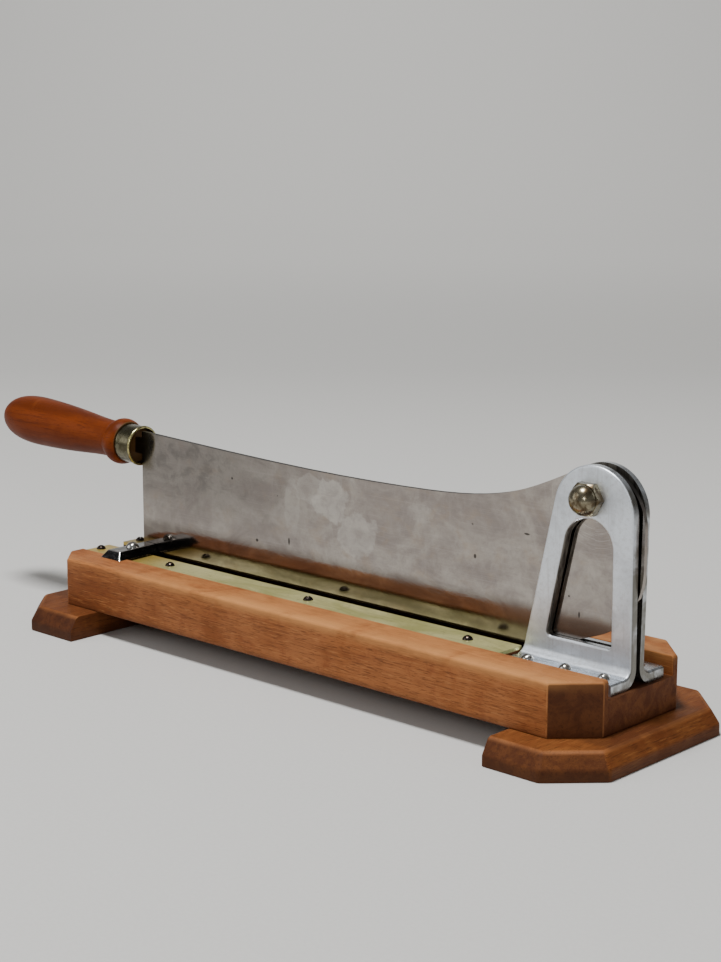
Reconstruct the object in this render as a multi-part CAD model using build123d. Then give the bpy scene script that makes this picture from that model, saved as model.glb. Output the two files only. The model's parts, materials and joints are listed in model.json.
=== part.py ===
from build123d import *
from collections import namedtuple
from math import atan2, cos, degrees, radians, sin, sqrt, tan
import os

# Lever bread slicer: a long wooden beam on two cross feet, with a hinged steel
# blade that drops into a slot between two brass strips. The blade turns on a bolt
# between two bent chromed brackets, and has a turned wooden handle at its free end.
# Row frame: +X runs from the handle to the pivot, +Y to the back, +Z up. The origin
# is under the middle of the whole length, on the surface that the feet stand on.
# All sizes are in millimetres.

# --- Wooden base ---
beam_length = 420.0
beam_width = 107.0
beam_height = 30.0
beam_corner_handle_end = 15.0     # 45 degree cuts on the upright corners
beam_corner_pivot_end = 20.5
rail_width = 24.6                 # the raised rim on each side of the recess
rail_edge_radius = 2.0
beam_upright_radius = 2.4         # on the upright edges of those cuts
rail_inner_radius = 0.7
beam_bottom_radius = 0.8

foot_height = 15.0
foot_width = 150.5                # across the beam
foot_length_handle_end = 65.5
foot_length_pivot_end = 61.5
foot_overhang_handle_end = 21.0
foot_overhang_pivot_end = 17.0
foot_corner = 25.6
foot_bevel_height = 8.6
foot_bevel_depth = 5.2
foot_edge_radius = 4.0            # softens the bevel and the cut corners
foot_sole_radius = 0.8

# --- Brass strips and the slot between them ---
strip_thickness = 2.0
strip_below_rail = 1.6
strip_side_gap = 0.2
strip_length = 345.6
slot_width = 12.0
strip_screw_row = 16.75           # from the blade's plane
strip_screw_first = 4.7           # from the beam's handle end
strip_screw_second = 72.3
strip_screw_pitch = 122.2         # for the screws after the second
strip_screw_late_count = 2

# --- Bracket pair ---
bracket_thickness = 4.5
bracket_foot_thickness = 6.2
bracket_bend_radius = 5.0         # on the side that faces out
bracket_back_radius = 10.0        # on the side that faces the blade
bracket_blade_clearance = 0.35    # on each side, at the height of the rail tops
bracket_lean = 1.0                # degrees that each plate leans out
bracket_foot_width = 70.8
bracket_foot_reach = 23.6         # from the blade's plane
bracket_end_inset = 2.7           # from the beam's pivot end
bracket_arch_radius = 25.6
bracket_arch_below_pivot = 7.8
bracket_leg_slant = 13.2          # degrees, the leg on the handle side
bracket_edge_radius = 1.4
bracket_recess_depth = 10.9       # below the rail tops
window_radius = 15.0
window_below_pivot = 26.0         # centre of the window's round top
window_slant = 12.3
window_sill_above_rail = 7.7
window_corner_radius = 2.5
bracket_screw_row = 15.3          # from the blade's plane
bracket_screw_pitch = 25.0
bracket_screw_count = 3

# --- Pivot ---
pivot_before_arch = 2.7           # from the arch's centre, towards the handle
pivot_above_rail = 86.0
bolt_radius = 5.0
bolt_running_fit = 0.08           # radial, blade on bolt
bolt_hole_clearance = 0.1         # radial, bracket and washer on bolt
hex_across_flats = 17.0
hex_rounding_radius = 11.5        # of the ball that takes the corners off an outer face
hex_face_margin = 0.1             # how far that ball clears the flats at the outer face
bolt_head_height = 6.4
bolt_past_nut_hex = 2.0           # the shank's end, inside the dome
nut_hex_height = 5.0
dome_radius = 8.2
dome_sunk = 1.0                   # dome's centre, inside the hex
nut_bore_depth = 10.0
nut_thread_clearance = 0.05
hex_seat_gap = 0.2                # the leaning plate touches only one edge of the hex
washer_radius = 10.0
washer_play = 0.15                # on each face

# --- Blade ---
blade_thickness = 2.6
blade_inset = 29.6                # plain end of the blade, from the beam's handle end
blade_top_above_rail = 77.3       # upper corner at the handle
blade_edge_below_rail = 8.1       # cutting edge when closed
blade_seat_gap = 0.3              # cutting edge over the slot's floor
blade_top_slope = 0.04            # upper edge's fall as it leaves the handle
waist_before_pivot = 125.0
waist_dip = 4.5                   # below the corner at the handle
rise_before_pivot = 51.0
rise_below_pivot = 3.7
neck_before_pivot = 26.5
neck_above_pivot = 6.1
heel_radius = 30.0
heel_centre_past_pivot = 1.0
heel_centre_below_pivot = 14.0
heel_join_angle = 117.0           # where the upper edge runs into the round heel
heel_flat = 20.5                  # upright stretch at the heel's back
heel_corner_radius = 42.0
edge_rise_angle = 20.0            # how the cutting edge climbs to the heel
edge_rise_blend = 60.0
grind_height = 7.0
grind_tip = 0.3

# --- Handle ---
handle_length = 141.0             # ferrule mouth to tip
handle_tilt = 2.3                 # degrees, tip up
handle_axis_below_top = 9.8       # at the ferrule's mouth, below the blade's corner
ferrule_gap = 0.3                 # ferrule's mouth to the blade's plain end
ferrule_radius = 12.4
ferrule_wall = 0.7
ferrule_length = 14.2
ferrule_lip_width = 2.2
ferrule_lip_radius = 13.0
ferrule_lip_tuck = 0.2            # how far the lip turns in at the mouth
ferrule_fit = 0.1                 # radial, ferrule on its wooden spigot
spigot_depth = 8.0
collar_radius = 15.0
collar_width = 11.5
collar_crest = 5.2                # from the ferrule's end to the collar's widest ring
collar_shoulder_radius = 13.2
collar_foot_step = 0.8            # groove wall between the collar and the neck
neck_radius = 11.8
neck_position = 28.0              # from the mouth
swell_radius = 13.7
swell_position = 57.5
belly_radius = 16.0
belly_position = 96.0
shoulder_radius = 14.9
shoulder_position = 121.2
end_radius = 10.1
end_position = 134.1
tang_height = 10.0
tang_length = 78.0
tang_root = 1.0                   # how far the tang runs into the blade's plate
tang_fit = 0.1

# --- Blade guides at the handle end ---
guide_width_outside = 18.4
guide_width_inside = 16.0
guide_start = 27.7                # from the beam's handle end
guide_reach = 36.2                # from the blade's plane, onto the rail
guide_thickness = 4.8
guide_side_slope = 3.4            # how far the sloping sides draw in towards the top
guide_edge_radius = 0.9
guide_blade_clearance = 0.5
guide_pad_play = 0.4              # pad between the rails
guide_screw_inset = 8.8           # from the guide's side that faces the handle
guide_screw_row = 17.0            # from the blade's plane

# --- Screws ---
strip_screw_head_radius = 3.1
strip_screw_head_height = 2.3
strip_screw_shank_radius = 1.5
strip_screw_length = 12.0
bracket_screw_head_radius = 3.5
bracket_screw_head_height = 2.6
bracket_screw_shank_radius = 2.0
bracket_screw_length = 18.0
guide_screw_head_radius = 4.3
guide_screw_head_height = 3.2
guide_screw_shank_radius = 1.6
guide_screw_length = 16.0
foot_screw_head_radius = 4.0
foot_screw_head_height = 2.6
foot_screw_shank_radius = 2.2
foot_screw_length = 26.0
screw_slot_width = 0.9
screw_slot_depth = 0.9
screw_clearance = 0.05            # radial, shank in its hole
screw_point_length = 4.0
screw_tip_share = 0.2             # tip radius of the point, over the shank's
screw_first_turn = 35.0           # degrees, how the first slot of a row points
screw_next_turn = 50.0            # and how far each next one is turned on
foot_screw_recess = 4.0
foot_screw_spread = 30.0          # from the blade's plane

cut_past = 1.0                    # how far a cutter runs past the face it opens

# --- Screws and places that follow from the sizes ---
Screw = namedtuple("Screw", "head_radius head_height shank_radius length")
strip_screw = Screw(
    strip_screw_head_radius, strip_screw_head_height, strip_screw_shank_radius, strip_screw_length
)
bracket_screw = Screw(
    bracket_screw_head_radius, bracket_screw_head_height, bracket_screw_shank_radius, bracket_screw_length
)
guide_screw = Screw(
    guide_screw_head_radius, guide_screw_head_height, guide_screw_shank_radius, guide_screw_length
)
foot_screw = Screw(
    foot_screw_head_radius, foot_screw_head_height, foot_screw_shank_radius, foot_screw_length
)
foot_screw_hole = foot_screw_shank_radius + screw_clearance

handle_reach = handle_length * cos(radians(handle_tilt)) + ferrule_gap - blade_inset
whole_length = handle_reach + beam_length + foot_overhang_pivot_end
beam_start = handle_reach - whole_length / 2
beam_end = beam_start + beam_length
rail_top = foot_height + beam_height
strip_top = rail_top - strip_below_rail
strip_floor = strip_top - strip_thickness
bracket_floor = rail_top - bracket_recess_depth
bracket_foot_top = bracket_floor + bracket_foot_thickness
blade_edge = rail_top - blade_edge_below_rail
blade_top = rail_top + blade_top_above_rail
slot_floor = blade_edge - blade_seat_gap
window_sill = rail_top + window_sill_above_rail
recess_half = beam_width / 2 - rail_width
step_x = beam_start + strip_length
blade_start = beam_start + blade_inset
bracket_right = beam_end - bracket_end_inset
bracket_left = bracket_right - bracket_foot_width
arch_x = bracket_right - bracket_arch_radius
pivot_x = arch_x - pivot_before_arch
pivot_z = rail_top + pivot_above_rail
arch_z = pivot_z - bracket_arch_below_pivot
bend_top = bracket_foot_top + bracket_bend_radius
bracket_half_gap = blade_thickness / 2 + bracket_blade_clearance
spigot_radius = ferrule_radius - ferrule_wall - ferrule_fit
guide_x = beam_start + guide_start
guide_top = rail_top + guide_thickness
guide_screw_spot = (guide_x + guide_screw_inset, -guide_screw_row)
bracket_screw_run = bracket_screw_pitch * (bracket_screw_count - 1)
bracket_screw_start = (bracket_left + bracket_right - bracket_screw_run) / 2
strip_screw_places = [strip_screw_first, strip_screw_second] + [
    strip_screw_second + strip_screw_pitch * (step + 1) for step in range(strip_screw_late_count)
]


def plate_back_y(height):
    """Distance from the blade's plane to a bracket's inner face at a height."""
    return bracket_half_gap + (height - rail_top) * tan(radians(bracket_lean))


def plate_front_y(height):
    """Distance from the blade's plane to a bracket's outer face at a height."""
    return plate_back_y(height) + bracket_thickness / cos(radians(bracket_lean))


def upright_prism(points, bottom, top):
    """Prism between two heights, from a plan outline of (x, y) points."""
    plan = make_face(Polyline(*points, close=True))
    return extrude(Pos(0, 0, bottom) * plan, top - bottom)


def block(x_range, y_range, z_range):
    """Box between three pairs of limits."""
    size = [high - low for low, high in (x_range, y_range, z_range)]
    middle = [(high + low) / 2 for low, high in (x_range, y_range, z_range)]
    return Pos(*middle) * Box(*size)


def upright_cylinder(x, y, bottom, top, radius):
    """Round bar along Z, which cuts a hole or makes a boss."""
    return Pos(x, y, (bottom + top) / 2) * Cylinder(radius, top - bottom)


def side_cylinder(radius, y_low, y_high, x, z):
    """Cylinder along Y between two depths."""
    return Pos(x, (y_low + y_high) / 2, z) * Rot(90, 0, 0) * Cylinder(radius, y_high - y_low)


def wood_screw(screw):
    """Round-headed slotted screw, seated at the origin and pointing down."""
    rim_to_centre = (screw.head_radius**2 - screw.head_height**2) / (2 * screw.head_height)
    dome = Pos(0, 0, -rim_to_centre) * Sphere(rim_to_centre + screw.head_height)
    head = dome & (Pos(0, 0, screw.head_height / 2) * Cylinder(2 * screw.head_radius, screw.head_height))
    slot = Pos(0, 0, screw.head_height) * Box(3 * screw.head_radius, screw_slot_width, 2 * screw_slot_depth)
    straight = screw.length - screw_point_length
    shank = Pos(0, 0, -straight / 2) * Cylinder(screw.shank_radius, straight)
    point = Cone(screw.shank_radius, screw.shank_radius * screw_tip_share, screw_point_length)
    point = Pos(0, 0, -straight - screw_point_length / 2) * Rot(180, 0, 0) * point
    return (head - slot) + shank + point


def screw_hole(x, y, seat, screw):
    """Cutter for a screw's hole, from over its seat down to its point."""
    return upright_cylinder(x, y, seat - screw.length, seat + cut_past, screw.shank_radius + screw_clearance)


def strip_screw_spots():
    """Plan places of one strip's screws, on the front side."""
    return [(beam_start + place, -strip_screw_row) for place in strip_screw_places]


def bracket_screw_spots():
    """Plan places of one bracket's screws, on the front side."""
    steps = range(bracket_screw_count)
    return [(bracket_screw_start + bracket_screw_pitch * step, -bracket_screw_row) for step in steps]


def foot_screw_spots():
    """Plan places of the screws that hold the feet."""
    left = beam_start - foot_overhang_handle_end + foot_length_handle_end / 2
    right = beam_end + foot_overhang_pivot_end - foot_length_pivot_end / 2
    return [(x, side * foot_screw_spread) for x in (left, right) for side in (-1, 1)]


def both_sides(shape):
    """A front-side shape and its mirror image on the back."""
    return [shape, mirror(shape, about=Plane.XZ)]


def base_beam():
    """Beam with cut corners, a shallow recess, a deeper one for the brackets and the slot."""
    half = beam_width / 2
    near, far = beam_corner_handle_end, beam_corner_pivot_end
    outline = [
        (beam_start + near, -half), (beam_end - far, -half),
        (beam_end, far - half), (beam_end, half - far),
        (beam_end - far, half), (beam_start + near, half),
        (beam_start, half - near), (beam_start, near - half),
    ]
    beam = upright_prism(outline, foot_height, rail_top)
    beam = fillet(beam.edges().filter_by(Axis.Z), beam_upright_radius)
    top = beam.edges().group_by(Axis.Z)[-1]
    beam = fillet(top, rail_edge_radius)
    bottom = beam.edges().group_by(Axis.Z)[0]
    beam = fillet(bottom, beam_bottom_radius)
    over = rail_top + cut_past
    start, end = beam_start - cut_past, beam_end + cut_past
    beam -= block((start, end), (-recess_half, recess_half), (strip_floor, over))
    beam -= block((step_x, end), (-recess_half, recess_half), (bracket_floor, over))
    beam -= block((start, step_x + cut_past), (-slot_width / 2, slot_width / 2), (slot_floor, over))
    inner_edges = beam.edges().filter_by(Axis.X).group_by(Axis.Z)[-1]
    inner_edges = [edge for edge in inner_edges if abs(edge.center().Y) < recess_half + rail_inner_radius]
    beam = fillet(inner_edges, rail_inner_radius)
    for spots, seat, screw in (
        (strip_screw_spots(), strip_top, strip_screw),
        (bracket_screw_spots(), bracket_foot_top, bracket_screw),
        ([guide_screw_spot], guide_top, guide_screw),
    ):
        for x, y in spots:
            for hole in both_sides(screw_hole(x, y, seat, screw)):
                beam -= hole
    for x, y in foot_screw_spots():
        beam -= upright_cylinder(
            x, y, foot_height - cut_past, foot_screw_recess + foot_screw.length, foot_screw_hole
        )
    return beam


def foot(length):
    """Cross foot on the origin, standing out to +X: outer corners cut, outer top edges bevelled."""
    half = foot_width / 2
    hidden = -2 * foot_bevel_depth
    plan = make_face(Polyline(
        (hidden, -half), (length - foot_corner, -half), (length, foot_corner - half),
        (length, half - foot_corner), (length - foot_corner, half), (hidden, half), close=True,
    ))
    bevel_start = foot_height - foot_bevel_height
    slope = degrees(atan2(foot_bevel_depth, foot_bevel_height))
    body = extrude(plan, bevel_start)
    body += extrude(Pos(0, 0, bevel_start) * plan, foot_bevel_height, taper=slope)
    shown_edges = [edge for edge in body.edges() if edge.center().X > 0 and edge.center().Z > 0]
    body = fillet(shown_edges, foot_edge_radius)
    body &= block((0, length), (-half, half), (0, foot_height))
    sole = body.edges().group_by(Axis.Z)[0]
    body = fillet(sole, foot_sole_radius)
    recess = foot_screw.head_radius + screw_clearance
    for side in (-1, 1):
        x, y = length / 2, side * foot_screw_spread
        body -= upright_cylinder(x, y, -cut_past, foot_height + cut_past, foot_screw_hole)
        body -= upright_cylinder(x, y, -cut_past, foot_screw_recess, recess)
    return body


def left_foot():
    inner_x = beam_start - foot_overhang_handle_end + foot_length_handle_end
    return Pos(inner_x, 0, 0) * Rot(0, 0, 180) * foot(foot_length_handle_end)


def right_foot():
    inner_x = beam_end + foot_overhang_pivot_end - foot_length_pivot_end
    return Pos(inner_x, 0, 0) * foot(foot_length_pivot_end)


def foot_screws(spots):
    """Screws driven up through a foot into the beam, with heads in the foot's recesses."""
    return [Pos(x, y, foot_screw_recess) * Rot(180, 0, 0) * wood_screw(foot_screw) for x, y in spots]


def front_strip():
    """Brass strip between the front rail and the slot."""
    strip = block(
        (beam_start, step_x), (-recess_half + strip_side_gap, -slot_width / 2), (strip_floor, strip_top)
    )
    for x, y in strip_screw_spots():
        strip -= screw_hole(x, y, strip_top, strip_screw)
    return strip - screw_hole(*guide_screw_spot, guide_top, guide_screw)


def screws_at(spots, seat, screw):
    """Row of identical upright screws; the slots point every which way."""
    row = []
    for number, (x, y) in enumerate(spots):
        turn = screw_first_turn + number * screw_next_turn
        row.append(Pos(x, y, seat) * Rot(0, 0, turn) * wood_screw(screw))
    return row


def bracket_section():
    """Side view of a bracket: a foot and a leaning plate with a round corner between them."""
    top = pivot_z + bracket_arch_radius
    back_corner = (-plate_back_y(bracket_floor), bracket_floor)
    front_corner = (-plate_front_y(bracket_foot_top), bracket_foot_top)
    section = make_face(Polyline(
        (-bracket_foot_reach, bracket_floor), back_corner, (-plate_back_y(top), top),
        (-plate_front_y(top), top), front_corner, (-bracket_foot_reach, bracket_foot_top), close=True,
    ))
    for corner, radius in ((back_corner, bracket_back_radius), (front_corner, bracket_bend_radius)):
        nearest = section.vertices().sort_by_distance(corner)[0]
        section = fillet(nearest, radius)
    return section


def bracket_outline():
    """Front view of a bracket: upright on the pivot side, slanted on the handle side."""
    slant = radians(bracket_leg_slant)
    touch_x = arch_x - bracket_arch_radius * cos(slant)
    touch_z = arch_z + bracket_arch_radius * sin(slant)
    knee_z = touch_z - (touch_x - bracket_left) / tan(slant)
    low = bracket_floor - cut_past
    lines = [
        Line((bracket_left, low), (bracket_left, knee_z)),
        Line((bracket_left, knee_z), (touch_x, touch_z)),
        CenterArc((arch_x, arch_z), bracket_arch_radius, 0, 180 - bracket_leg_slant),
        Line((bracket_right, arch_z), (bracket_right, low)),
        Line((bracket_right, low), (bracket_left, low)),
    ]
    return make_face(lines)


def window_outline():
    """Round-topped window between the legs."""
    slant = radians(window_slant)
    middle_z = pivot_z - window_below_pivot
    touch_x = pivot_x - window_radius * cos(slant)
    touch_z = middle_z + window_radius * sin(slant)
    sill_x = touch_x - (touch_z - window_sill) * tan(slant)
    right_x = pivot_x + window_radius
    lines = [
        Line((sill_x, window_sill), (touch_x, touch_z)),
        CenterArc((pivot_x, middle_z), window_radius, 0, 180 - window_slant),
        Line((right_x, middle_z), (right_x, window_sill)),
        Line((right_x, window_sill), (sill_x, window_sill)),
    ]
    face = make_face(lines)
    corners = face.vertices().group_by(Axis.Y)[0]
    return fillet(corners, window_corner_radius)


def along_y(face, y_low, y_high):
    """Prism along Y from a front-view outline of (x, z)."""
    return Pos(0, y_low, 0) * extrude(Plane.XZ * face, -(y_high - y_low))


def front_bracket():
    """Bent, chromed plate on the front side of the blade."""
    outside = -bracket_foot_reach - cut_past
    sheet = extrude(Plane.YZ * bracket_section(), bracket_foot_width + 2 * cut_past)
    sheet = Pos(bracket_left - cut_past, 0, 0) * sheet
    plate = sheet & along_y(bracket_outline(), outside, 0)
    plate -= along_y(window_outline(), outside, 0)
    front = plate.faces().filter_by(GeomType.PLANE).filter_by(lambda face: face.normal_at().Y < -0.9)
    front = front.sort_by(SortBy.AREA)[-1]
    rim = [edge for edge in front.edges() if edge.center().Z > bend_top + cut_past]
    plate = fillet(rim, bracket_edge_radius)
    plate -= side_cylinder(bolt_radius + bolt_hole_clearance, outside, 0, pivot_x, pivot_z)
    for x, y in bracket_screw_spots():
        plate -= screw_hole(x, y, bracket_foot_top, bracket_screw)
    return plate


def hexagon_along_y(y_low, y_high):
    """Hexagonal prism on the pivot axis."""
    flats = RegularPolygon(hex_across_flats / 2, 6, major_radius=False)
    return Pos(pivot_x, 0, pivot_z) * along_y(flats, y_low, y_high)


def hexagon_rounding(outer_y, inward):
    """Ball that takes the corners off a hexagon at its outer face."""
    face_radius = hex_across_flats / 2 + hex_face_margin
    back = sqrt(hex_rounding_radius**2 - face_radius**2)
    return Pos(pivot_x, outer_y + inward * back, pivot_z) * Sphere(hex_rounding_radius)


def pivot_bolt():
    """Bolt on which the blade turns, with its hexagonal head at the back."""
    seat = plate_front_y(pivot_z) + hex_seat_gap
    tip = -seat - nut_hex_height - bolt_past_nut_hex
    shank = side_cylinder(bolt_radius, tip, seat, pivot_x, pivot_z)
    head = hexagon_along_y(seat, seat + bolt_head_height)
    return shank + (head & hexagon_rounding(seat + bolt_head_height, -1))


def dome_nut():
    """Domed nut on the bolt's front end."""
    seat = -plate_front_y(pivot_z) - hex_seat_gap
    hex_front = seat - nut_hex_height
    hexagon = hexagon_along_y(hex_front, seat) & hexagon_rounding(hex_front, 1)
    dome = Pos(pivot_x, hex_front + dome_sunk, pivot_z) * Sphere(dome_radius)
    dome -= side_cylinder(2 * dome_radius, hex_front, seat + dome_radius, pivot_x, pivot_z)
    bore = bolt_radius + nut_thread_clearance
    return hexagon + dome - side_cylinder(bore, seat - nut_bore_depth, seat + cut_past, pivot_x, pivot_z)


def front_washer():
    """Spacer washer that fills the space between the blade and the front bracket."""
    near = blade_thickness / 2 + washer_play
    far = plate_back_y(pivot_z - washer_radius) - washer_play
    disc = side_cylinder(washer_radius, -far, -near, pivot_x, pivot_z)
    return disc - side_cylinder(bolt_radius + bolt_hole_clearance, -far - cut_past, 0, pivot_x, pivot_z)


def handle_place():
    """Where the handle's own frame sits: origin at the ferrule's mouth, tip along -X."""
    mouth = (blade_start - ferrule_gap, 0, blade_top - handle_axis_below_top)
    return Location(mouth, (0, handle_tilt, 0))


def tang(spare):
    """Flat tongue of the blade that runs up inside the handle, in the handle's frame."""
    bar = block(
        (-tang_length - spare, ferrule_gap + tang_root),
        (-blade_thickness / 2 - spare, blade_thickness / 2 + spare),
        (-tang_height / 2 - spare, tang_height / 2 + spare),
    )
    return bar


def blade_outline():
    """Front view of the blade without its tang."""
    heel_x = pivot_x + heel_centre_past_pivot
    heel_z = pivot_z - heel_centre_below_pivot
    join = radians(heel_join_angle)
    heel_start = (heel_x + heel_radius * cos(join), heel_z + heel_radius * sin(join))
    back_x = heel_x + heel_radius
    corner_x = back_x - heel_corner_radius
    corner_z = heel_z - heel_flat
    climb = radians(edge_rise_angle)
    leave = (corner_x + heel_corner_radius * sin(climb), corner_z - heel_corner_radius * cos(climb))
    climb_foot = leave[0] - (leave[1] - blade_edge) / tan(climb)
    blend = edge_rise_blend * tan(climb / 2)
    climb_start = (climb_foot + blend * cos(climb), blade_edge + blend * sin(climb))
    level_end = (climb_foot - blend, blade_edge)
    upper_edge = [
        (blade_start, blade_top),
        (pivot_x - waist_before_pivot, blade_top - waist_dip),
        (pivot_x - rise_before_pivot, pivot_z - rise_below_pivot),
        (pivot_x - neck_before_pivot, pivot_z + neck_above_pivot),
        heel_start,
    ]
    lines = [
        Line((blade_start, blade_edge), (blade_start, blade_top)),
        Spline(upper_edge, tangents=[(1, -blade_top_slope), (sin(join), -cos(join))]),
        CenterArc((heel_x, heel_z), heel_radius, 0, heel_join_angle),
        Line((back_x, heel_z), (back_x, corner_z)),
        CenterArc((corner_x, corner_z), heel_corner_radius, edge_rise_angle - 90, 90 - edge_rise_angle),
        Line(leave, climb_start),
        RadiusArc(climb_start, level_end, edge_rise_blend),
        Line(level_end, (blade_start, blade_edge)),
    ]
    return make_face(lines)


def blade():
    """Blade with its round heel, pivot hole, ground edge and tang."""
    half = blade_thickness / 2
    plate = along_y(blade_outline(), -half, half)
    ground_top = blade_edge + grind_height
    below = blade_edge - cut_past
    for side in (-1, 1):
        tip_y, outside = side * grind_tip / 2, side * (half + cut_past)
        wedge = make_face(Polyline(
            (side * half, ground_top), (tip_y, blade_edge), (tip_y, below), (outside, below),
            (outside, ground_top), close=True,
        ))
        ground = extrude(Plane.YZ * wedge, bracket_left - blade_start)
        plate -= Pos(blade_start - cut_past, 0, 0) * ground
    plate += handle_place() * tang(0)
    hole = bolt_radius + bolt_running_fit
    return plate - side_cylinder(hole, -half - cut_past, half + cut_past, pivot_x, pivot_z)


def handle_grip():
    """Turned wooden handle with a bead at the ferrule and a full, rounded end."""
    collar_end = ferrule_length + collar_width
    collar_foot = (-collar_end, neck_radius + collar_foot_step)
    spigot_end = ferrule_length - spigot_depth
    body = [
        (-neck_position, neck_radius), (-swell_position, swell_radius), (-belly_position, belly_radius),
        (-shoulder_position, shoulder_radius), (-end_position, end_radius), (-handle_length, 0),
    ]
    lines = [
        Line((-spigot_end, 0), (-spigot_end, spigot_radius)),
        Line((-spigot_end, spigot_radius), (-ferrule_length, spigot_radius)),
        Line((-ferrule_length, spigot_radius), (-ferrule_length, collar_shoulder_radius)),
        ThreePointArc(
            (-ferrule_length, collar_shoulder_radius), (-ferrule_length - collar_crest, collar_radius),
            collar_foot,
        ),
        Line(collar_foot, (-neck_position, neck_radius)),
        Spline(body, tangents=[(-1, 0), (0, -1)]),
        Line((-handle_length, 0), (-spigot_end, 0)),
    ]
    grip = revolve(Plane.XZ * make_face(lines), Axis.X)
    return handle_place() * (grip - tang(tang_fit))


def handle_ferrule():
    """Metal ferrule with a rolled lip at its open mouth."""
    bore = ferrule_radius - ferrule_wall
    lip_start = (0, ferrule_radius - ferrule_lip_tuck)
    lip_end = (-ferrule_lip_width, ferrule_radius)
    lines = [
        Line((0, bore), lip_start),
        ThreePointArc(lip_start, (-ferrule_lip_width / 2, ferrule_lip_radius), lip_end),
        Line(lip_end, (-ferrule_length, ferrule_radius)),
        Line((-ferrule_length, ferrule_radius), (-ferrule_length, bore)),
        Line((-ferrule_length, bore), (0, bore)),
    ]
    return handle_place() * revolve(Plane.XZ * make_face(lines), Axis.X)


def front_blade_guide():
    """Slope-sided bar that lies on the front rail, bridges the strip and steers the blade."""
    inner_y = -blade_thickness / 2 - guide_blade_clearance
    outer_right = guide_x + guide_width_outside
    inner_right = guide_x + guide_width_inside
    narrowing = (outer_right - inner_right) / (guide_reach + inner_y)
    past_y = inner_y + 2 * guide_side_slope
    past_right = inner_right - (past_y - inner_y) * narrowing
    plan = make_face(Polyline(
        (guide_x, -guide_reach), (outer_right, -guide_reach), (past_right, past_y), (guide_x, past_y), close=True
    ))
    slope = degrees(atan2(guide_side_slope, guide_thickness))
    bar = extrude(Pos(0, 0, rail_top) * plan, guide_thickness, taper=slope)
    upper_edges = [edge for edge in bar.edges() if edge.center().Z > rail_top]
    bar = fillet(upper_edges, guide_edge_radius)
    bar &= block((guide_x, outer_right), (-guide_reach, inner_y), (rail_top, guide_top))
    inside = -recess_half + guide_pad_play
    bar += block((guide_x, inner_right), (inside, inner_y), (strip_top, rail_top))
    return bar - screw_hole(*guide_screw_spot, guide_top, guide_screw)


def write(node, shapes):
    """Write one node's solid, or its group of separate solids."""
    solids = shapes if isinstance(shapes, list) else [shapes]
    parts = [solid for shape in solids for solid in shape.solids()]
    model = parts[0] if len(parts) == 1 else Compound(children=parts)
    export_step(model, f"parts/{node}.step")


def main():
    os.makedirs("parts", exist_ok=True)
    write("base_beam", base_beam())
    write("left_foot", left_foot())
    write("right_foot", right_foot())
    spots = foot_screw_spots()
    write("left_foot_screws", foot_screws(spots[:2]))
    write("right_foot_screws", foot_screws(spots[2:]))
    strip_screws = screws_at(strip_screw_spots(), strip_top, strip_screw)
    bracket_screws = screws_at(bracket_screw_spots(), bracket_foot_top, bracket_screw)
    guide_screws = screws_at([guide_screw_spot], guide_top, guide_screw)
    pairs = {
        "strip": front_strip(), "strip_screws": strip_screws,
        "bracket": front_bracket(), "bracket_screws": bracket_screws,
        "blade_guide": front_blade_guide(), "guide_screw": guide_screws,
        "spacer_washer": front_washer(),
    }
    for name, shape in pairs.items():
        shapes = shape if isinstance(shape, list) else [shape]
        write(f"front_{name}", shapes)
        write(f"rear_{name}", [mirror(item, about=Plane.XZ) for item in shapes])
    write("pivot_bolt", pivot_bolt())
    write("dome_nut", dome_nut())
    write("blade", blade())
    write("handle_grip", handle_grip())
    write("handle_ferrule", handle_ferrule())


main()
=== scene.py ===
import json
from math import cos, pi, radians, sin

import bpy
from mathutils import Matrix, Vector


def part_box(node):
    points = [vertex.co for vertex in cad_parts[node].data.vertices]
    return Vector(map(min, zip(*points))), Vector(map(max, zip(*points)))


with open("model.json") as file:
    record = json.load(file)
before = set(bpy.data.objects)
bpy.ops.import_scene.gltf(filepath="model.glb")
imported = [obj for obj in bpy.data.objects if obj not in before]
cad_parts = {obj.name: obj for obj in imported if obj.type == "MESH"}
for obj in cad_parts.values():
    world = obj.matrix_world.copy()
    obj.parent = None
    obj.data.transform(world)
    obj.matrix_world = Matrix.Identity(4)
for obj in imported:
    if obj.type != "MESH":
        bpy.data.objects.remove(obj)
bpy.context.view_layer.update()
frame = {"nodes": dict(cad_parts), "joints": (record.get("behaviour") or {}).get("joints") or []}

nodes = frame["nodes"]
hinge = frame["joints"][0]

# --- Places taken from the frame, in metres ---
beam_low, beam_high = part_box("base_beam")
strip_low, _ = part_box("front_strip")
ferrule_low, ferrule_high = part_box("handle_ferrule")
pivot = Vector(hinge["pos_m"])
rail_top = beam_high.z
recess_half_width = 0.0286

# --- Camera, as the photograph was taken ---
camera_place = Vector((beam_low.x + 0.961839, -0.796004, 0.334337))
camera_yaw = 42.9466
camera_pitch = -11.359
camera_roll = 0.102
focal_pixels = 1917.36
image_height = 962
sensor_size = 36.0
away = Vector((-sin(radians(camera_yaw)), cos(radians(camera_yaw)), 0.0))


def make_camera():
    data = bpy.data.cameras.new("camera")
    data.sensor_width = sensor_size
    data.lens = focal_pixels / image_height * sensor_size
    data.clip_start = 0.01
    data.clip_end = 50.0
    camera = bpy.data.objects.new("camera", data)
    turn = (
        Matrix.Rotation(radians(camera_yaw), 4, "Z")
        @ Matrix.Rotation(radians(90 + camera_pitch), 4, "X")
        @ Matrix.Rotation(radians(camera_roll), 4, "Z")
    )
    camera.matrix_world = Matrix.Translation(camera_place) @ turn
    bpy.context.scene.collection.objects.link(camera)
    bpy.context.scene.camera = camera


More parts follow.
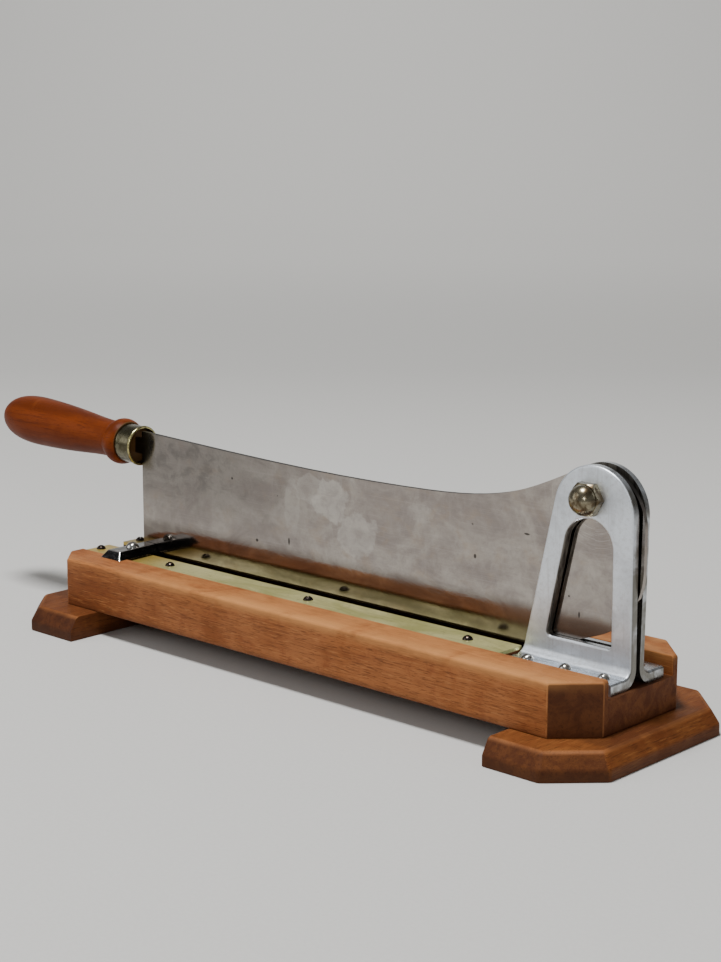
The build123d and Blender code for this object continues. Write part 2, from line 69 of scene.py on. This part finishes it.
# --- Small helpers for node materials ---
class Shader:
    """One node material, with short calls for the nodes that it is made of."""

    def __init__(self, name):
        self.material = bpy.data.materials.new(name)
        self.material.use_nodes = True
        self.tree = self.material.node_tree
        self.surface = self.tree.nodes["Principled BSDF"]
        coords = self.tree.nodes.new("ShaderNodeTexCoord")
        self.place = coords.outputs["Object"]
        self.normal = coords.outputs["Normal"]

    def node(self, kind, inputs=(), **settings):
        made = self.tree.nodes.new(kind)
        for key, value in settings.items():
            setattr(made, key, value)
        for key, value in dict(inputs).items():
            self.put(made.inputs[key], value)
        return made

    def put(self, socket, value):
        if isinstance(value, bpy.types.NodeSocket):
            self.tree.links.new(value, socket)
        else:
            socket.default_value = value

    def set(self, **values):
        """Sets sockets of the surface shader; underscores in a name stand for spaces."""
        for key, value in values.items():
            self.put(self.surface.inputs[key.replace("_", " ")], value)

    def math(self, operation, first, second=0.0):
        made = self.node("ShaderNodeMath", operation=operation)
        self.put(made.inputs[0], first)
        self.put(made.inputs[1], second)
        return made.outputs[0]

    def times(self, first, *others):
        """Product of numbers."""
        for other in others:
            first = self.math("MULTIPLY", first, other)
        return first

    def unsigned(self, value):
        """Number without its sign."""
        return self.math("ABSOLUTE", value)

    def stretched(self, scale, shift=(0, 0, 0), source=None):
        """Coordinates multiplied by a scale along each axis."""
        made = self.node("ShaderNodeMapping", {
            "Vector": source or self.place, "Scale": scale, "Location": shift,
        })
        return made.outputs[0]

    def noise(
        self, scale, detail=4.0, roughness=0.55, distortion=0.0, source=None, shift=(0, 0, 0)
    ):
        """Noise from 0 to 1; scale is one number or one for each axis, per metre."""
        if not hasattr(scale, "__len__"):
            scale = (scale, scale, scale)
        made = self.node("ShaderNodeTexNoise", {
            "Vector": self.stretched(scale, shift, source), "Scale": 1.0, "Detail": detail,
            "Roughness": roughness, "Distortion": distortion,
        })
        return made.outputs["Fac"]

    def ramp(self, value, low, high, out_low=0.0, out_high=1.0):
        """Smooth step from one number to another as a value goes from low to high."""
        made = self.node("ShaderNodeMapRange", {
            "Value": value, "From Min": low, "From Max": high,
            "To Min": out_low, "To Max": out_high,
        }, interpolation_type="SMOOTHSTEP")
        return made.outputs["Result"]

    def axes(self, source=None):
        made = self.node("ShaderNodeSeparateXYZ", {"Vector": source or self.place})
        return made.outputs[0], made.outputs[1], made.outputs[2]

    def mix(self, amount, first, second, blend="MIX"):
        """Mix of two colours."""
        made = self.node("ShaderNodeMix", data_type="RGBA", blend_type=blend)
        self.put(made.inputs[0], amount)
        self.put(made.inputs[6], first)
        self.put(made.inputs[7], second)
        return made.outputs[2]

    def lay(self, tone, colour, value, low, high, amount=1.0):
        """Colour laid over a tone, up to an amount, as a value goes from low to high."""
        return self.mix(self.ramp(value, low, high, 0.0, amount), tone, colour)

    def bump(self, height, distance, strength=1.0, under=None):
        made = self.node("ShaderNodeBump", {
            "Height": height, "Distance": distance, "Strength": strength,
        })
        if under is not None:
            self.put(made.inputs["Normal"], under)
        return made.outputs[0]

    def near(self, centre, radii):
        """Distance from a centre, as a share of the radii along each axis."""
        scale = tuple(1 / radius for radius in radii)
        shift = tuple(-place / radius for place, radius in zip(centre, radii))
        made = self.node("ShaderNodeVectorMath", operation="LENGTH")
        self.put(made.inputs[0], self.stretched(scale, shift))
        return made.outputs["Value"]


def shade(red, green, blue):
    """Colour written as it shows on a screen, from 0 to 255, as the shader wants it."""
    def linear(value):
        value /= 255
        return value / 12.92 if value <= 0.04045 else ((value + 0.055) / 1.055) ** 2.4
    return (linear(red), linear(green), linear(blue), 1.0)


# --- Materials: wood ---
grain_draw = 0.06  # how much coarser the wood's pattern is along the grain than across it


def base_wood(name, along, seed):
    """Oiled orange-brown wood with its grain along one axis and short dark flecks."""
    s = Shader(name)
    shift = (seed * 3.1, seed * 1.7, seed * 2.3)
    fibre_shift = (shift[1], shift[2], shift[0] + 4.0)

    def grained(scale):
        return tuple(scale * (grain_draw if axis == along else 1.0) for axis in "xyz")

    bend = s.noise(grained(34), 3.0, 0.5, 0.6, shift=shift)
    rings = s.noise(grained(260), 4.0, 0.6, 1.2, shift=shift)
    pores = s.noise(grained(1900), 3.0, 0.65, 0.2, shift=shift)
    flecks = s.noise(grained(1984), 2.0, 0.5, 0.4, shift=shift)
    fibres = s.noise(grained(1300), 3.0, 0.6, 0.3, shift=fibre_shift)
    blotch = s.noise(21, 4.0, 0.6, 0.6, shift=shift)
    mottle = s.noise(95, 4.0, 0.65, 0.8, shift=shift)

    tone = s.mix(s.ramp(bend, 0.3, 0.7), shade(124, 68, 33), shade(158, 97, 53))
    tone = s.lay(tone, shade(112, 60, 28), rings, 0.38, 0.66, 0.6)
    tone = s.lay(tone, shade(166, 106, 62), blotch, 0.42, 0.7, 0.55)
    tone = s.lay(tone, shade(120, 60, 30), mottle, 0.5, 0.7, 0.4)
    tone = s.lay(tone, shade(184, 124, 74), fibres, 0.56, 0.7, 0.5)
    tone = s.lay(tone, shade(80, 42, 18), pores, 0.52, 0.68, 0.62)
    tone = s.lay(tone, shade(82, 44, 20), flecks, 0.58, 0.68, 0.65)

    nx, ny, _ = s.axes(s.normal)
    end_pores = s.noise(700, 3.0, 0.7, shift=shift)
    end_tone = s.mix(s.ramp(mottle, 0.35, 0.65), shade(118, 70, 38), shade(92, 50, 26))
    end_tone = s.lay(end_tone, shade(66, 34, 16), end_pores, 0.5, 0.7, 0.6)
    tone = s.lay(tone, end_tone, s.unsigned(nx if along == "x" else ny), 0.4, 0.7)
    s.set(Base_Color=tone, Roughness=s.ramp(blotch, 0.3, 0.7, 0.66, 0.52))
    s.set(Specular_IOR_Level=0.16)
    s.set(Normal=s.bump(pores, 0.00014, 0.7, s.bump(bend, 0.0006)))
    return s, tone, blotch, mottle


def beam_wood():
    """Base wood, rubbed pale along rails and corners (less so towards the handle end, as painted
    shade), with painted shade on the cut corners and in the recess, darker at the bottom.
    """
    s, tone, blotch, mottle = base_wood("base_wood_beam", "x", 0)
    x, y, z = s.axes()
    nx, ny, _ = s.axes(s.normal)
    from_middle = s.unsigned(y)
    # Rail tops rubbed pale; the ramp along x fades this towards the handle end as painted shade,
    # where the light falls off.
    wear_and_end_shade = s.times(
        s.ramp(z, rail_top - 0.0075, rail_top - 0.0005),
        s.ramp(blotch, 0.3, 0.54),
        s.ramp(from_middle, beam_high.y - 0.012, beam_high.y - 0.002, 0.5, 1.0),
        s.ramp(x, beam_low.x + 0.03, beam_low.x + 0.16, 0.2, 0.8),
    )
    tone = s.mix(wear_and_end_shade, tone, shade(192, 134, 80))
    # 0.5 on the cut corners, less on the rounded edges beside them
    slant = s.times(s.unsigned(nx), s.unsigned(ny))
    rubbed = s.times(
        s.ramp(slant, 0.1, 0.22), s.ramp(slant, 0.47, 0.4), s.ramp(mottle, 0.3, 0.6, 0.0, 0.4),
    )
    tone = s.mix(rubbed, tone, shade(190, 130, 80))
    # Painted shade: the cut corners darkened, as they get less light than the front face.
    tone = s.lay(tone, shade(60, 32, 15), slant, 0.42, 0.48, 0.5)
    # Painted shade in the recess between the rails.
    recess_shade = s.times(
        s.math("LESS_THAN", from_middle, recess_half_width),
        s.math("LESS_THAN", s.unsigned(nx), 0.5),
        s.ramp(z, rail_top - 0.0015, rail_top - 0.004),
    )
    tone = s.mix(s.times(recess_shade, 0.8), tone, shade(44, 25, 14))
    tone = s.lay(tone, shade(74, 40, 20), z, beam_low.z + 0.0045, beam_low.z, 0.45)
    s.set(Base_Color=tone)
    return s.material


def foot_wood(name, seed, shade_and_wood_darkening):
    """Base wood, darkened by painted shade and a darker tone, darker near the floor, with painted
    shade on the top under the beam, rubbed paler along the bevel.
    """
    s, tone, blotch, _ = base_wood(name, "y", seed)
    _, y, z = s.axes()
    _, _, nz = s.axes(s.normal)
    # Painted shade and a darker wood: the whole foot multiplied darker.
    tone = s.mix(1.0, tone, shade_and_wood_darkening, "MULTIPLY")
    tone = s.lay(tone, shade(70, 40, 21), z, 0.0075, 0.0015, 0.55)
    ridge = s.times(s.ramp(nz, 0.5, 0.8), s.ramp(nz, 0.999, 0.96))
    lightened = s.times(ridge, s.ramp(blotch, 0.3, 0.65, 0.05, 0.35))
    tone = s.mix(lightened, tone, shade(170, 110, 64))
    # Painted shade on the top faces under the beam.
    beam_shade = s.times(s.ramp(s.unsigned(y), 0.047, 0.040, 0.0, 0.45), s.ramp(nz, 0.6, 0.9))
    tone = s.mix(beam_shade, tone, shade(66, 36, 18))
    s.set(Base_Color=tone)
    return s.material


def handle_wood():
    """Red-brown varnished wood, grain along the handle, lighter on the upper side from rubbing
    and a painted highlight, paler and muted olive-brown in the ferrule mouth, painted for its
    shade.
    """
    s = Shader("handle_wood")
    x, _, _ = s.axes()
    nx, _, nz = s.axes(s.normal)
    bend = s.noise((6, 80, 80), 3.0, 0.5, 0.7)
    lines = s.noise((30, 900, 900), 3.0, 0.6, 0.2)
    flecks = s.noise((110, 1500, 1500), 2.0, 0.5)
    blotch = s.noise(38, 4.0, 0.6, 0.8)
    tone = s.mix(s.ramp(bend, 0.32, 0.68), shade(84, 33, 7), shade(112, 49, 14))
    tone = s.lay(tone, shade(78, 30, 9), lines, 0.5, 0.7, 0.6)
    tone = s.lay(tone, shade(66, 26, 9), flecks, 0.58, 0.7, 0.5)
    tone = s.lay(tone, shade(90, 36, 11), blotch, 0.5, 0.72, 0.5)
    # Lighter upper side: partly rubbed, partly a painted highlight from the light above.
    lightened = s.times(s.ramp(nz, 0.55, 0.95), s.ramp(blotch, 0.45, 0.3, 0.0, 0.4))
    tone = s.mix(lightened, tone, shade(132, 68, 28))
    # Colour painted for the shaded ferrule mouth: a muted olive-brown on the wood's end face
    # there.
    mouth = s.times(s.ramp(x, ferrule_low.x, ferrule_low.x + 0.001), s.ramp(nx, 0.2, 0.6))
    tone = s.mix(mouth, tone, shade(88, 62, 34))
    s.set(Base_Color=tone, Roughness=s.ramp(blotch, 0.3, 0.7, 0.4, 0.5))
    s.set(Specular_IOR_Level=0.09)
    s.set(Normal=s.bump(lines, 0.00008, 0.6, s.bump(blotch, 0.0004)))
    return s.material


# --- Materials: metal ---
def aged_brass():
    """Strip with a pale greenish-yellow patina, more golden at the handle end."""
    s = Shader("aged_brass")
    x, _, _ = s.axes()
    cloud = s.noise((22, 60, 60), 4.0, 0.6, 0.6)
    rubbed = s.noise((30, 900, 900), 3.0, 0.6)
    streak = s.noise((700, 40, 40), 3.0, 0.6)
    spots = s.noise(420, 3.0, 0.7)
    tone = s.mix(s.ramp(cloud, 0.34, 0.66), shade(170, 168, 102), shade(214, 209, 146))
    tone = s.lay(tone, shade(190, 156, 66), x, strip_low.x + 0.085, strip_low.x + 0.045, 0.8)
    tone = s.lay(tone, shade(140, 136, 82), rubbed, 0.5, 0.75, 0.45)
    tone = s.lay(tone, shade(150, 150, 96), streak, 0.55, 0.75, 0.4)
    tone = s.lay(tone, shade(98, 88, 50), spots, 0.6, 0.72, 0.6)
    s.set(Base_Color=tone, Metallic=0.6, Roughness=s.ramp(cloud, 0.3, 0.7, 0.4, 0.3))
    s.set(Normal=s.bump(rubbed, 0.00003, 0.5))
    return s.material


def satin_chrome():
    """Old plating: frosted on the outer faces, shinier on edges, bend and foot; darker and matt
    on faces towards the blade and on the window walls, as unplated steel with painted shade in
    the gap.
    """
    s = Shader("worn_chrome")
    x, y, z = s.axes()
    nx, ny, nz = s.axes(s.normal)
    cloud = s.noise(55, 3.0, 0.6, 0.4)
    grain = s.noise(1500, 3.0, 0.7)
    frost = s.noise(420, 4.0, 0.7)
    streak = s.noise((520, 520, 22), 3.0, 0.65)
    tone = s.mix(s.ramp(cloud, 0.35, 0.7), shade(226, 232, 239), shade(208, 213, 219))
    tone = s.lay(tone, shade(190, 192, 195), frost, 0.45, 0.7, 0.45)
    tone = s.lay(tone, shade(186, 188, 190), streak, 0.5, 0.75, 0.45)
    tone = s.lay(tone, shade(140, 138, 132), grain, 0.62, 0.76, 0.5)
    leg = s.times(
        s.ramp(z, rail_top + 0.026, rail_top + 0.010),
        s.ramp(cloud, 0.36, 0.58),
        s.ramp(z, rail_top + 0.004, rail_top + 0.008),
    )
    tone = s.mix(s.times(leg, 0.1), tone, shade(134, 127, 120))
    lie = s.times(s.ramp(nz, 0.6, 0.95), s.math("LESS_THAN", z, rail_top - 0.002))
    smear = s.noise((60, 700, 700), 3.0, 0.7)
    tone = s.mix(s.times(lie, s.ramp(smear, 0.42, 0.7, 0.0, 0.8)), tone, shade(118, 117, 114))
    ledge = s.times(s.math("GREATER_THAN", x, pivot.x + 0.020), s.ramp(nx, 0.5, 0.9))
    tone = s.mix(s.times(ledge, s.ramp(cloud, 0.3, 0.6)), tone, shade(128, 126, 120))
    # Faces towards the blade and the window walls: unplated matt steel, darkened as painted shade
    # for the narrow gap by the blade.
    window_wall = s.times(
        s.ramp(nx, 0.2, 0.6),
        s.math("LESS_THAN", x, pivot.x + 0.014),
        s.math("GREATER_THAN", z, rail_top + 0.004),
    )
    outward = s.times(s.math("SIGN", y), ny)  # 1 away from the blade, -1 towards it
    dull_and_gap_shade = s.math("MAXIMUM", s.ramp(outward, -0.1, -0.5), window_wall)
    dull_and_gap_shade_tone = s.mix(s.ramp(streak, 0.4, 0.65), shade(118, 114, 107), shade(72, 68, 63))
    tone = s.mix(dull_and_gap_shade, tone, dull_and_gap_shade_tone)
    s.set(Base_Color=tone, Metallic=1.0)
    gloss = s.node("ShaderNodeMix", data_type="FLOAT")
    s.put(gloss.inputs[0], s.math("MAXIMUM", s.ramp(outward, 0.1, 0.5), dull_and_gap_shade))
    s.put(gloss.inputs[2], s.ramp(streak, 0.3, 0.7, 0.22, 0.34))
    s.put(gloss.inputs[3], s.ramp(cloud, 0.3, 0.7, 0.42, 0.54))
    s.set(Roughness=gloss.outputs[0])
    s.set(Normal=s.bump(grain, 0.00003, 0.5, s.bump(frost, 0.00003, 0.5, s.bump(cloud, 0.0001))))
    return s.material


def guide_steel():
    """Dark glossy steel bar with painted highlights along its edges and a painted sheen on its
    top.
    """
    s = Shader("guide_steel")
    nx, ny, nz = s.axes(s.normal)
    cloud = s.noise(120, 3.0, 0.6, 0.4)
    scratch = s.noise((900, 120, 900), 3.0, 0.65, 0.3)
    tone = s.mix(s.ramp(cloud, 0.4, 0.7), shade(64, 64, 66), shade(38, 38, 40))
    tone = s.lay(tone, shade(150, 150, 150), scratch, 0.6, 0.72, 0.7)
    # Painted sheen: the flat top made lighter, as lit from above.
    over = s.times(s.ramp(nz, 0.9, 0.985), s.ramp(cloud, 0.3, 0.6, 0.4, 0.12))
    tone = s.mix(over, tone, shade(196, 197, 198))
    # Painted highlights along the rims and the sloping corners.
    rim_highlight = s.times(s.ramp(nz, 0.62, 0.74), s.ramp(nz, 0.985, 0.9))
    hip = s.math("MINIMUM", s.unsigned(nx), s.unsigned(ny))
    edge_highlight = s.math("MAXIMUM", rim_highlight, s.ramp(hip, 0.16, 0.34))
    tone = s.mix(s.times(edge_highlight, 0.9), tone, shade(232, 232, 232))
    s.set(Base_Color=tone, Metallic=1.0, Roughness=s.ramp(scratch, 0.4, 0.75, 0.12, 0.3))
    s.set(Normal=s.bump(scratch, 0.00004, 0.6, s.bump(cloud, 0.0003)))
    return s.material


# Pale stains on the blade, as (x, z, half width, half height, strength), from the pivot in metres
pale_stains = (
    (-0.1905, -0.0300, 0.0130, 0.0135, 0.85),
    (-0.2080, -0.0245, 0.0120, 0.0080, 0.5),
    (-0.1690, -0.0480, 0.0150, 0.0125, 0.75),
    (-0.2230, -0.0380, 0.0060, 0.0180, 0.35),
    (-0.1205, -0.0270, 0.0100, 0.0055, 0.3),
)
# Dark specks on the blade, as (x, z, half width, half height), from the pivot in metres
dark_specks = (
    (-0.2256, -0.0600, 0.0008, 0.0022),
    (-0.2534, -0.0636, 0.0012, 0.0010),
    (-0.0806, -0.0450, 0.0009, 0.0012),
    (-0.0448, -0.0269, 0.0020, 0.0006),
    (-0.0091, -0.0650, 0.0006, 0.0018),
    (-0.0160, -0.0560, 0.0006, 0.0006),
    (-0.3020, -0.0060, 0.0009, 0.0009),
    (-0.2750, -0.0280, 0.0008, 0.0008),
)


def lay_stains(s, tone, patch):
    wander = s.noise(75, 4.0, 0.65)
    for across, up, wide, high, strength in pale_stains:
        far = s.near((pivot.x + across, 0.0, pivot.z + up), (wide, 1.0, high))
        far = s.math("ADD", far, s.times(s.math("SUBTRACT", wander, 0.5), 1.5))
        stain = s.times(s.ramp(far, 1.12, 0.94), s.ramp(patch, 0.66, 0.36, 0.3, 0.7), strength)
        tone = s.mix(stain, tone, shade(190, 186, 179))
    return tone


def lay_arcs(s, tone, x, z):
    """Fine bright arcs that the brackets rubbed into the blade round the pivot."""
    aside = s.math("SUBTRACT", x, pivot.x)
    under = s.math("SUBTRACT", z, pivot.z)
    radius = s.math("SQRT", s.math("ADD", s.times(aside, aside), s.times(under, under)))
    turned = s.node("ShaderNodeCombineXYZ", {
        "X": s.times(radius, 1300.0), "Y": s.math("ARCTAN2", aside, under),
    })
    arcs = s.noise(1.0, 3.0, 0.6, source=turned.outputs[0])
    around = s.times(s.ramp(radius, 0.038, 0.022), s.ramp(arcs, 0.5, 0.7, 0.0, 0.38))
    return s.mix(around, tone, shade(210, 206, 200))


def lay_specks(s, tone, fine):
    specks = s.noise(170, 1.0, 0.4, shift=(3.7, 0, 1.9))
    tone = s.lay(tone, shade(60, 54, 50), specks, 0.80, 0.82, 0.7)
    for across, up, wide, high in dark_specks:
        far = s.near((pivot.x + across, 0.0, pivot.z + up), (wide, 1.0, high))
        far = s.math("ADD", far, s.math("SUBTRACT", fine, 0.5))
        tone = s.lay(tone, shade(46, 42, 40), far, 1.25, 0.7, 0.85)
    return tone


def blade_steel():
    """Polished carbon steel with grey mottling, pale stains, specks and fine scratches, painted
    shade over the rails' reflection and a painted reflection of the ferrule mouth.
    """
    s = Shader("blade_steel")
    x, _, z = s.axes()
    _, _, nz = s.axes(s.normal)
    cloud = s.noise((26, 26, 40), 5.0, 0.62, 0.8)
    patch = s.noise((90, 90, 120), 4.0, 0.7, 0.6)
    fine = s.noise(340, 4.0, 0.7, 0.4)
    brushed = s.noise((24, 900, 1300), 3.0, 0.6)
    streak = s.noise((130, 130, 34), 4.0, 0.65, 0.9)
    warm = s.noise((60, 60, 80), 4.0, 0.65, 0.5, shift=(5.0, 2.0, 7.0))
    tone = s.mix(s.ramp(cloud, 0.34, 0.66), shade(142, 133, 128), shade(172, 165, 157))
    tone = s.lay(tone, shade(132, 123, 121), patch, 0.42, 0.7, 0.5)
    tone = s.lay(tone, shade(138, 130, 124), fine, 0.4, 0.72, 0.4)
    tone = s.lay(tone, shade(182, 176, 170), brushed, 0.5, 0.75, 0.25)
    tone = s.lay(tone, shade(184, 179, 172), streak, 0.5, 0.75, 0.2)
    tone = s.lay(tone, shade(158, 140, 122), warm, 0.5, 0.75, 0.4)
    darker_end = s.times(
        s.ramp(x, pivot.x - 0.16, pivot.x - 0.31),
        s.ramp(z, pivot.z - 0.075, pivot.z - 0.030),
        s.ramp(patch, 0.3, 0.65, 0.85, 0.45),
    )
    tone = s.mix(darker_end, tone, shade(100, 96, 93))
    # Painted shade over the band where the rails are reflected, darkening that reflection.
    rail_reflection_shade = s.times(
        s.ramp(z, rail_top + 0.024, rail_top + 0.016),
        s.ramp(z, rail_top - 0.001, rail_top + 0.004),
        s.ramp(cloud, 0.3, 0.7, 0.7, 0.5),
    )
    tone = s.mix(rail_reflection_shade, tone, shade(84, 77, 70))
    # Painted shade by the pivot, greying the rails' orange reflection in the window; it also adds
    # roughness there.
    heel_reflection_shade = s.times(
        s.ramp(x, pivot.x - 0.09, pivot.x - 0.02), s.ramp(z, rail_top + 0.024, rail_top + 0.014),
    )
    tone = s.mix(s.times(heel_reflection_shade, s.ramp(patch, 0.3, 0.7, 0.7, 0.5)), tone, shade(92, 88, 84))
    tone = lay_stains(s, tone, patch)
    tone = lay_arcs(s, tone, x, z)
    tone = lay_specks(s, tone, fine)
    top_edge = s.ramp(nz, 0.3, 0.7)
    tone = s.mix(top_edge, tone, shade(58, 56, 54))
    # Painted reflection of the ferrule's dark mouth on the blade beside it; the same mask adds
    # roughness.
    haze_and_mouth_reflection = s.times(
        s.ramp(x, ferrule_high.x + 0.014, ferrule_high.x + 0.004),
        s.ramp(z, ferrule_low.z - 0.004, ferrule_low.z + 0.002),
    )
    tone = s.mix(s.times(haze_and_mouth_reflection, 0.75), tone, shade(88, 80, 60))
    s.set(Base_Color=tone, Metallic=1.0)
    rough = s.math("ADD", s.ramp(cloud, 0.3, 0.7, 0.115, 0.075), s.times(haze_and_mouth_reflection, 0.22))
    rough = s.math("ADD", rough, s.times(heel_reflection_shade, 0.16))
    s.set(Roughness=s.math("MAXIMUM", rough, s.times(top_edge, 0.55)))
    s.set(Normal=s.bump(brushed, 0.000008, 0.4, s.bump(cloud, 0.00008)))
    return s.material


def aged_metal(name, light, dark, spot, rough, patch_scale=150):
    """Tarnished metal: two tones in patches, small spots and rubbed gloss."""
    s = Shader(name)
    patch = s.noise(patch_scale, 4.0, 0.65, 0.6)
    spots = s.noise(patch_scale * 5, 3.0, 0.7)
    tone = s.mix(s.ramp(patch, 0.38, 0.62), light, dark)
    tone = s.lay(tone, spot, spots, 0.58, 0.7, 0.8)
    s.set(Base_Color=tone, Metallic=1.0, Roughness=s.ramp(patch, 0.35, 0.7, rough, rough + 0.16))
    s.set(Normal=s.bump(spots, 0.00003, 0.5, s.bump(patch, 0.0001)))
    return s, tone


def ferrule_metal():
    """Tarnished olive nickel with a painted highlight on the lip and painted shade inside."""
    s, tone = aged_metal(
        "aged_nickel", light=shade(108, 104, 84), dark=shade(74, 69, 50), spot=shade(52, 42, 26),
        rough=0.2, patch_scale=110,
    )
    x, y, z = s.axes()
    nx, ny, nz = s.axes(s.normal)
    above = s.math("SUBTRACT", z, (ferrule_low.z + ferrule_high.z) / 2)
    outward = s.math("ADD", s.times(ny, y), s.times(nz, above))  # negative inside the ferrule
    rubbed = s.noise(260, 3.0, 0.6)
    # Painted highlight on the lip, laid in patches by the rubbed noise.
    lip = s.times(
        s.ramp(x, ferrule_high.x - 0.0016, ferrule_high.x - 0.0006),
        s.ramp(rubbed, 0.35, 0.6, 0.25, 0.85),
    )
    tone = s.mix(lip, tone, shade(222, 212, 150))
    # Painted shade on the inner wall of the ferrule.
    inside = s.times(s.ramp(outward, -0.001, -0.004), s.ramp(nx, 0.6, 0.3))
    tone = s.mix(inside, tone, shade(98, 82, 50))
    s.set(Base_Color=tone)
    return s.material


# --- Each node gets its material ---
def smooth(obj, angle=40):
    """Soft shading except across edges sharper than an angle."""
    for polygon in obj.data.polygons:
        polygon.use_smooth = True
    obj.data.set_sharp_from_angle(angle=radians(angle))


def dress(node, material):
    obj = nodes[node]
    obj.data.materials.clear()
    obj.data.materials.append(material)


def dress_all():
    dress("base_beam", beam_wood())
    # The last value darkens each foot: painted shade from the beam and handle, and a darker wood.
    dress("left_foot", foot_wood("base_wood_left_foot", 1, shade(178, 168, 152)))
    dress("right_foot", foot_wood("base_wood_right_foot", 2, shade(206, 200, 178)))
    brass = aged_brass()
    chrome = satin_chrome()
    guide = guide_steel()
    dark_screw, _ = aged_metal(
        "dark_screw", light=shade(74, 66, 60), dark=shade(42, 36, 33), spot=shade(92, 66, 44),
        rough=0.2,
    )
    bright_screw, _ = aged_metal(
        "bright_screw", light=shade(206, 206, 204), dark=shade(150, 146, 138),
        spot=shade(92, 82, 68), rough=0.14,
    )
    plain_steel, _ = aged_metal(
        "spacer_steel", light=shade(150, 148, 144), dark=shade(110, 106, 100),
        spot=shade(80, 66, 52), rough=0.3,
    )
    pivot_brass, _ = aged_metal(
        "pivot_brass", light=shade(150, 142, 120), dark=shade(86, 74, 56),
        spot=shade(50, 28, 16), rough=0.2,
    )
    for side in ("front", "rear"):
        dress(f"{side}_strip", brass)
        dress(f"{side}_strip_screws", dark_screw.material)
        dress(f"{side}_bracket", chrome)
        dress(f"{side}_bracket_screws", bright_screw.material)
        dress(f"{side}_blade_guide", guide)
        dress(f"{side}_guide_screw", bright_screw.material)
        dress(f"{side}_spacer_washer", plain_steel.material)
    dress("left_foot_screws", dark_screw.material)
    dress("right_foot_screws", dark_screw.material)
    dress("pivot_bolt", pivot_brass.material)
    dress("dome_nut", pivot_brass.material)
    dress("blade", blade_steel())
    dress("handle_grip", handle_wood())
    dress("handle_ferrule", ferrule_metal())
    for node in nodes.values():
        smooth(node)


# --- Floor, backdrop and light ---
sheet_near_end = -6.0      # along the view, from the middle of the object
sheet_bend_start = 3.4
sheet_bend_radius = 2.6
sheet_top = 4.5
sheet_half_width = 7.0
sheet_bend_steps = 32


def stage_sheet():
    """Pale floor that sweeps up into a backdrop behind the object."""
    s = Shader("stage_grey")
    speckle = s.mix(s.noise(420, 3.0, 0.6), shade(206, 205, 202), shade(197, 196, 193))
    s.set(Base_Color=speckle, Roughness=0.9, Specular_IOR_Level=0.15)
    across = Vector((away.y, -away.x, 0.0))
    line = [(sheet_near_end, 0.0), (sheet_bend_start, 0.0)]
    for step in range(1, sheet_bend_steps + 1):
        turn = pi / 2 * step / sheet_bend_steps
        forward = sheet_bend_start + sheet_bend_radius * sin(turn)
        line.append((forward, sheet_bend_radius * (1 - cos(turn))))
    line.append((sheet_bend_start + sheet_bend_radius, sheet_top))
    points = []
    for forward, up in line:
        for side in (-sheet_half_width, sheet_half_width):
            points.append(away * forward + across * side + Vector((0, 0, up)))
    faces = [(2 * row, 2 * row + 1, 2 * row + 3, 2 * row + 2) for row in range(len(line) - 1)]
    mesh = bpy.data.meshes.new("stage_sheet")
    mesh.from_pydata([tuple(point) for point in points], [], faces)
    sheet = bpy.data.objects.new("stage_sheet", mesh)
    bpy.context.scene.collection.objects.link(sheet)
    mesh.materials.append(s.material)
    smooth(sheet)


def area_light(name, place, target, size, power):
    place = Vector(place)
    data = bpy.data.lights.new(name, "AREA")
    data.shape = "SQUARE"
    data.size = size
    data.energy = power
    light = bpy.data.objects.new(name, data)
    aim = (Vector(target) - place).to_track_quat("-Z", "Y").to_matrix().to_4x4()
    light.matrix_world = Matrix.Translation(place) @ aim
    bpy.context.scene.collection.objects.link(light)


def make_lights():
    world = bpy.data.worlds.new("studio")
    world.use_nodes = True
    background = world.node_tree.nodes["Background"]
    background.inputs["Color"].default_value = (1.0, 0.99, 0.97, 1.0)
    background.inputs["Strength"].default_value = 0.21
    bpy.context.scene.world = world
    middle = (0.0, 0.0, 0.05)
    area_light("overhead", place=(0.0, -0.38, 2.6), target=middle, size=0.55, power=82)
    area_light("front_fill", place=(-1.3, -1.9, 1.1), target=middle, size=1.8, power=16)
    area_light(
        "catchlight", place=(1.25, -1.35, 0.75), target=(0.15, 0.0, 0.1), size=0.28, power=5
    )
    # Stands behind the object and faces away, so it lights only the far floor and the backdrop
    behind = away * 2.4 + Vector((0, 0, 3.2))
    far_below = behind + away + Vector((0, 0, -0.364))
    area_light("backdrop_light", place=behind, target=far_below, size=1.6, power=125)


make_camera()
dress_all()
stage_sheet()
make_lights()
